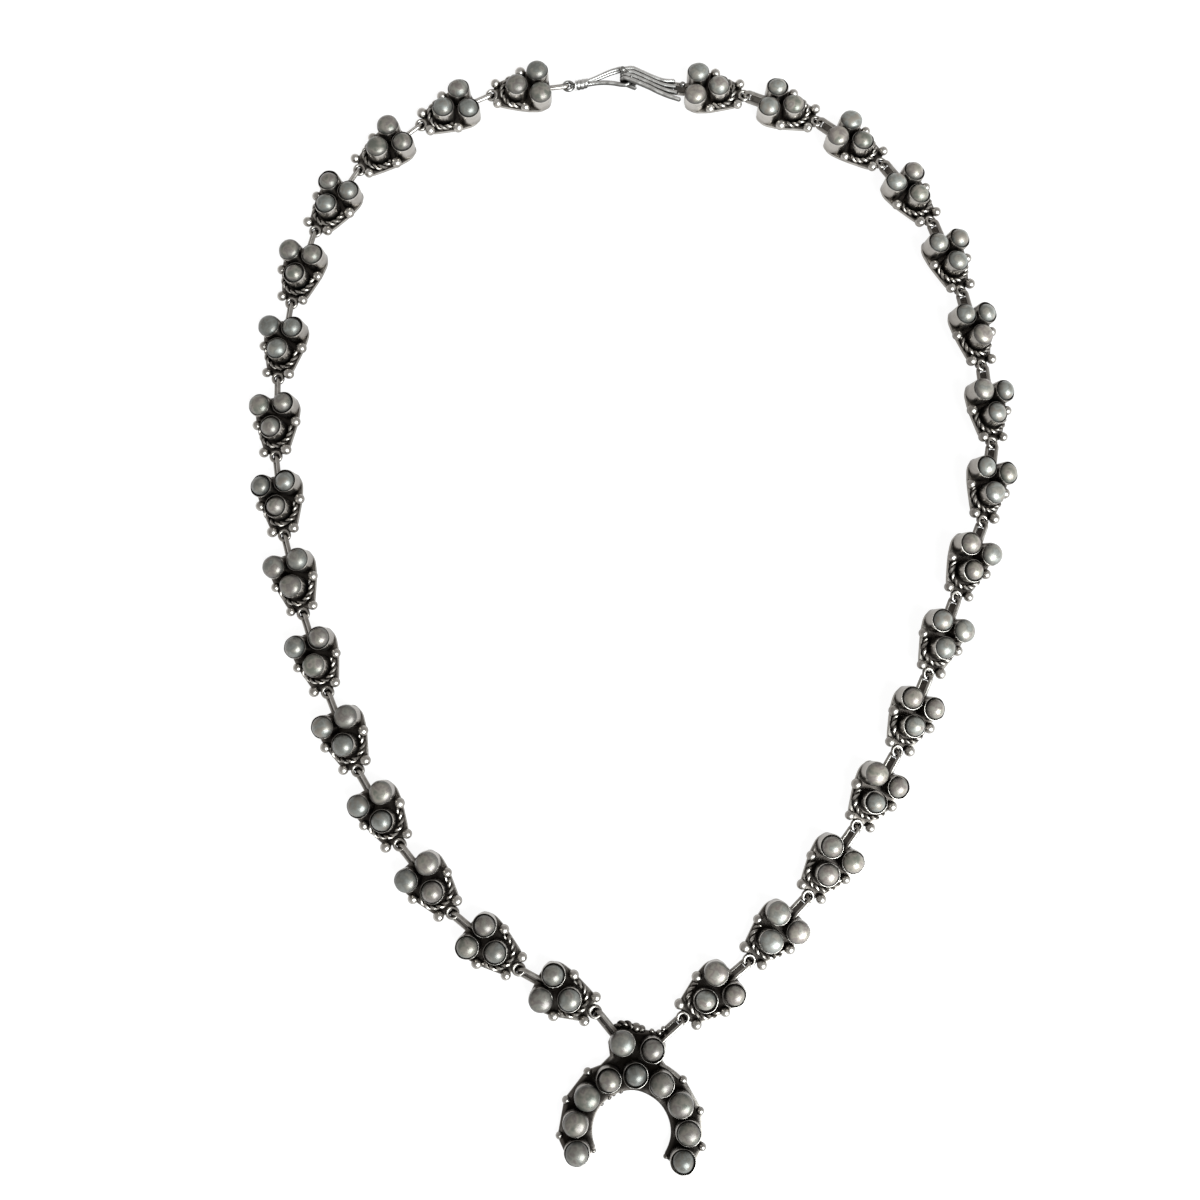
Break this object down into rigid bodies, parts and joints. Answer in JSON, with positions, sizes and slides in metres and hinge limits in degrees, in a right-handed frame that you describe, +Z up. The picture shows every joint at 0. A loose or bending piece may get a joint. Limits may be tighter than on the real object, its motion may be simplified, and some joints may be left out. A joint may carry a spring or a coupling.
{
  "type": "squash blossom necklace",
  "caption": "Necklace of pearl-set silver links lying flat, with a small horseshoe pendant set with pearls and a hook-and-eye clasp.",
  "frame": {"origin": "on the surface that the necklace lies on, under the middle of its bounding box", "axes": "+Z up, +Y from the pendant towards the clasp, +X to the right seen from above"},
  "size_m": [0.134, 0.1934, 0.0068],
  "materials": {
    "silver": "silver, worn bright on the high spots and oxidised near black in the recesses",
    "pearl": "silver-grey pearl with faint green, pink and blue overtones"
  },
  "bodies": {
    "root": {"link_left_01": "silver", "link_left_02": "silver", "link_left_03": "silver", "link_left_04": "silver", "link_left_05": "silver", "link_left_06": "silver", "link_left_07": "silver", "link_left_08": "silver", "link_left_09": "silver", "link_left_10": "silver", "link_left_11": "silver", "link_left_12": "silver", "link_left_13": "silver", "link_left_14": "silver", "link_left_15": "silver", "link_right_01": "silver", "link_right_02": "silver", "link_right_03": "silver", "link_right_04": "silver", "link_right_05": "silver", "link_right_06": "silver", "link_right_07": "silver", "link_right_08": "silver", "link_right_09": "silver", "link_right_10": "silver", "link_right_11": "silver", "link_right_12": "silver", "link_right_13": "silver", "link_right_14": "silver", "link_right_15": "silver", "naja_frame": "silver", "clasp_eye": "silver", "clasp_hook": "silver", "naja_pearl_01": "pearl", "naja_pearl_02": "pearl", "naja_pearl_03": "pearl", "naja_pearl_04": "pearl", "naja_pearl_05": "pearl", "naja_pearl_06": "pearl", "naja_pearl_07": "pearl", "naja_pearl_08": "pearl", "naja_pearl_09": "pearl", "naja_pearl_10": "pearl", "naja_pearl_11": "pearl"}
  },
  "joints": []
}
